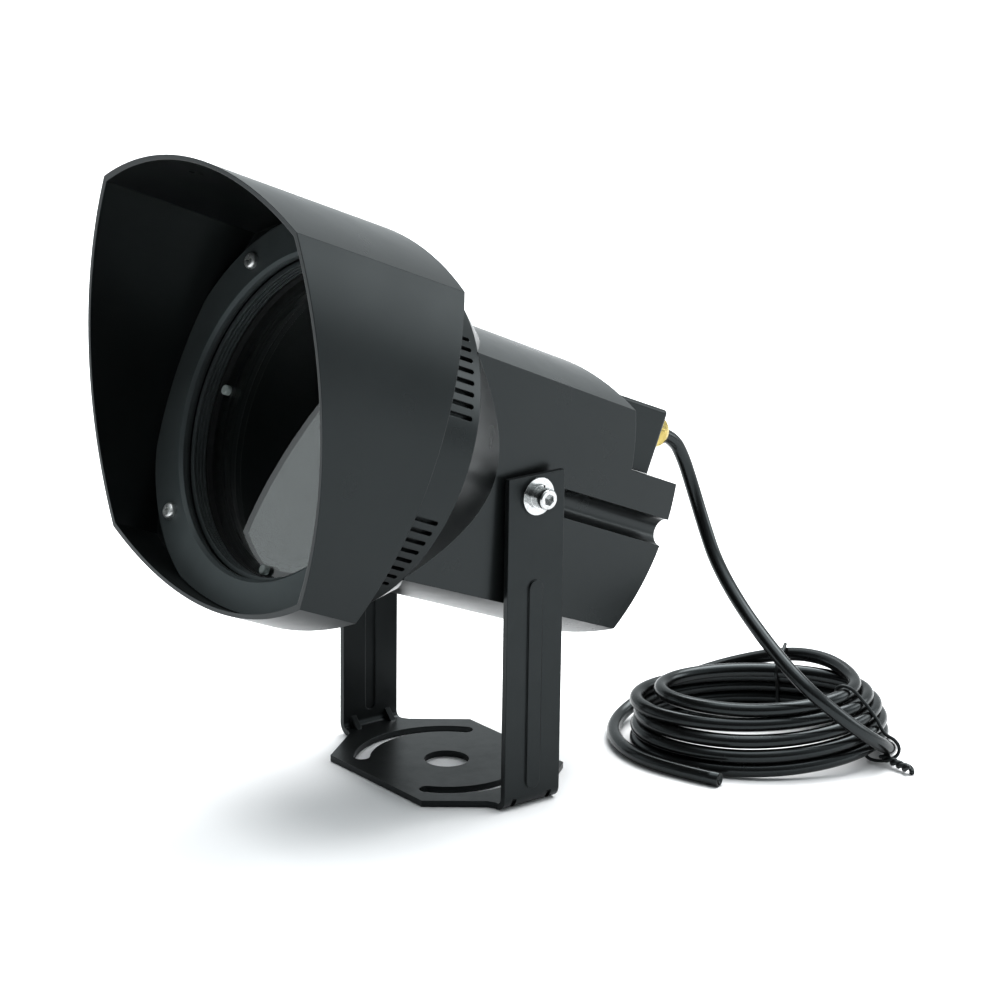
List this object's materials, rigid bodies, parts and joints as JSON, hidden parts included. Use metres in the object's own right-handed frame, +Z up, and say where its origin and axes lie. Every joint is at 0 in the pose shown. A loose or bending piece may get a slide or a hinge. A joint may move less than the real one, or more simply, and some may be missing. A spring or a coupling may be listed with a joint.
{
  "type": "underwater pond light",
  "caption": "Underwater pond light: black moulded spotlight with a long square hood, tilting in a U-shaped steel foot bracket, with a brass cable gland and a tied coil of cable.",
  "frame": {"origin": "centre of the foot's round mounting hole, on the underside of the foot", "axes": "+Z up, the light shines towards -Y and slightly up at rest, +X is the side of the lamp nearer the cable gland"},
  "size_m": [0.2437, 0.3428, 0.3164],
  "materials": {
    "bracket_coat": "satin black powder coat on bent steel strip",
    "black_moulding": "satin moulded black plastic",
    "front_moulding": "smooth moulded black plastic, slightly glossier",
    "spacer_plastic": "plain black plastic",
    "stainless": "bright stainless steel",
    "gland_brass": "machined brass with an olive cast",
    "clear_glass": "clear toughened flat glass",
    "lamp_glass": "clear quartz",
    "clear_plastic": "clear plastic",
    "seal_rubber": "matt black rubber",
    "cable_rubber": "smooth semi-gloss black rubber sheath",
    "tie_coating": "plastic-coated tie wire",
    "bowl_black": "black anodised spun bowl",
    "holder_plastic": "black heat-resistant plastic"
  },
  "bodies": {
    "bracket": {"mounting_bracket": "bracket_coat", "cable_drop": "cable_rubber", "cable_coil": "cable_rubber", "cable_tail": "cable_rubber", "cable_tie_right": "tie_coating", "cable_tie_knot": "tie_coating", "cable_tie_rear": "tie_coating"},
    "lamp": {"pivot_screws": "stainless", "pivot_spring_washers": "stainless", "pivot_washers": "stainless", "pivot_spacers": "spacer_plastic", "pivot_inserts": "gland_brass", "lamp_housing": "black_moulding", "front_ring": "black_moulding", "hood": "black_moulding", "cable_box": "black_moulding", "bezel_ring": "front_moulding", "ribbed_baffle": "front_moulding", "bezel_screws": "stainless", "glass_seat_gasket": "seal_rubber", "glass_front_gasket": "seal_rubber", "gland_seal": "seal_rubber", "glass_lens": "clear_glass", "glass_pegs": "clear_plastic", "reflector": "bowl_black", "lamp_capsule": "lamp_glass", "lamp_holder": "holder_plastic", "gland_body": "gland_brass", "gland_nut": "gland_brass"}
  },
  "joints": [
    {"name": "lamp_tilt", "type": "hinge", "parent": "bracket", "child": "lamp", "pos_m": [0, 0, 0.154], "axis": [-1, 0, 0], "range_deg": [-40, 67.5], "deforming": ["cable_drop"]}
  ]
}
